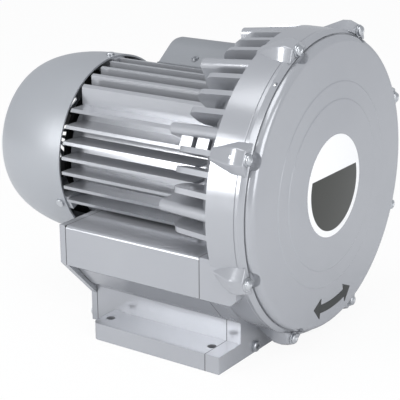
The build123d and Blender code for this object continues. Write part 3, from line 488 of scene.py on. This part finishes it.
ringTree = screwRingTree()
coverRing = {"count": coverBolts["count"], "circle": coverBolts["circle"], "seed": 4,
             "firstAngle": coverBolts["firstAngle"], "angleStep": 360 / coverBolts["count"]}
coverWasher = {"radius": 0.0048, "thickness": 0.0009, "bore": 0.0027, "edgeShare": 0.3, "spinSteps": 40}
coverScrew = {"headRadius": 0.0040, "headHeight": 0.0030, "shankRadius": 0.0025, "length": 0.0175}
screwRing("coverWasherRing", "cover_washers", ringTree, flatWasher(coverWasher, zincPlate), zincPlate,
          {**coverRing, "seatX": 0.0926})
screwRing("coverScrewRing", "cover_screws", ringTree, panScrew(coverScrew, zincPlate), zincPlate,
          {**coverRing, "seatX": 0.0935})
print("cover screws made")


studio = {"floorReach": 6.0, "floorColour": "#fafafa", "cameraShare": 0.93, "ambientColour": "#e6e9ee",
          "ambientStrength": 0.68}
studioLamps = {                # place, aim, width, height (metres) and power (watts)
    "overheadBox": ((-0.2, -0.5, 1.6), (0, 0, 0.1), 1.2, 0.8, 7),
    "leftBox": ((-0.91, -1.52, 0.66), (0, -0.1, 0.14), 0.36, 1.0, 13),
    "frontFill": ((1.8, -0.6, 0.7), (0, 0, 0.12), 1.4, 1.4, 17),
}


def floorAndWorld():
    paper = emptyMaterial("palePaper")
    tree = paper.node_tree
    rays = addNode(tree, "ShaderNodeLightPath")
    matt = addNode(tree, "ShaderNodeBsdfDiffuse", {"Color": linear(studio["floorColour"])})
    bright = addNode(tree, "ShaderNodeEmission", {"Color": (1, 1, 1, 1), "Strength": 1.0})
    share = addNode(tree, "ShaderNodeMath", {0: rays.outputs["Is Camera Ray"], 1: studio["cameraShare"]},
                    operation="MULTIPLY")
    blend = addNode(tree, "ShaderNodeMixShader", {0: share.outputs[0], 1: matt.outputs[0],
                                                  2: bright.outputs[0]})
    addNode(tree, "ShaderNodeOutputMaterial", {"Surface": blend.outputs[0]})
    mesh = bpy.data.meshes.new("studioFloor")
    reach = studio["floorReach"]
    corners = [(-reach, -reach, 0), (reach, -reach, 0), (reach, reach, 0), (-reach, reach, 0)]
    mesh.from_pydata(corners, [], [(0, 1, 2, 3)])
    floor = bpy.data.objects.new("studioFloor", mesh)
    mesh.materials.append(paper)
    bpy.context.collection.objects.link(floor)
    world = bpy.data.worlds.new("studioWorld")
    world.use_nodes = True
    world.node_tree.nodes.clear()
    tree = world.node_tree
    rays = addNode(tree, "ShaderNodeLightPath")
    ambient = addNode(tree, "ShaderNodeBackground", {"Color": linear(studio["ambientColour"]),
                      "Strength": studio["ambientStrength"]})
    white = addNode(tree, "ShaderNodeBackground", {"Color": (1, 1, 1, 1), "Strength": 1.0})
    blend = addNode(tree, "ShaderNodeMixShader", {0: rays.outputs["Is Camera Ray"], 1: ambient.outputs[0],
                                                  2: white.outputs[0]})
    addNode(tree, "ShaderNodeOutputWorld", {"Surface": blend.outputs[0]})
    bpy.context.scene.world = world


def softbox(name, place, aim, width, height, power):
    lamp = bpy.data.lights.new(name, "AREA")
    lamp.shape = "RECTANGLE"
    lamp.size = width
    lamp.size_y = height
    lamp.energy = power
    box = bpy.data.objects.new(name, lamp)
    box.location = place
    box.rotation_euler = (Vector(aim) - Vector(place)).to_track_quat("-Z", "Y").to_euler()
    bpy.context.collection.objects.link(box)


def studioCamera():
    # where the camera stands round the pump cover, in degrees and metres
    stand = {"turn": 34.8345, "rise": 17.8881, "roll": -0.401, "distance": 0.99024,
             "aside": -0.09724, "lower": -0.01186, "centre": (0.0941, 0, axisHeight), "lens": 116.861,
             "sensor": 36}
    turn, rise, roll = (radians(stand[k]) for k in ("turn", "rise", "roll"))
    back = Vector((sin(turn) * cos(rise), -cos(turn) * cos(rise), sin(rise)))
    level = Vector((cos(turn), sin(turn), 0))
    upright = back.cross(level)
    right = level * cos(roll) + upright * sin(roll)
    up = upright * cos(roll) - level * sin(roll)
    place = Vector(stand["centre"]) + right * stand["aside"] + up * stand["lower"] + back * stand["distance"]
    lens = bpy.data.cameras.new("studioCamera")
    lens.lens = stand["lens"]
    lens.sensor_width = stand["sensor"]
    camera = bpy.data.objects.new("studioCamera", lens)
    camera.matrix_world = Matrix.Translation(place) @ Matrix((right, up, back)).transposed().to_4x4()
    bpy.context.collection.objects.link(camera)
    bpy.context.scene.camera = camera


floorAndWorld()
for lampName, lampSizes in studioLamps.items():
    softbox(lampName, *lampSizes)
studioCamera()
bpy.context.scene.view_settings.view_transform = "Standard"
print("light and camera set")
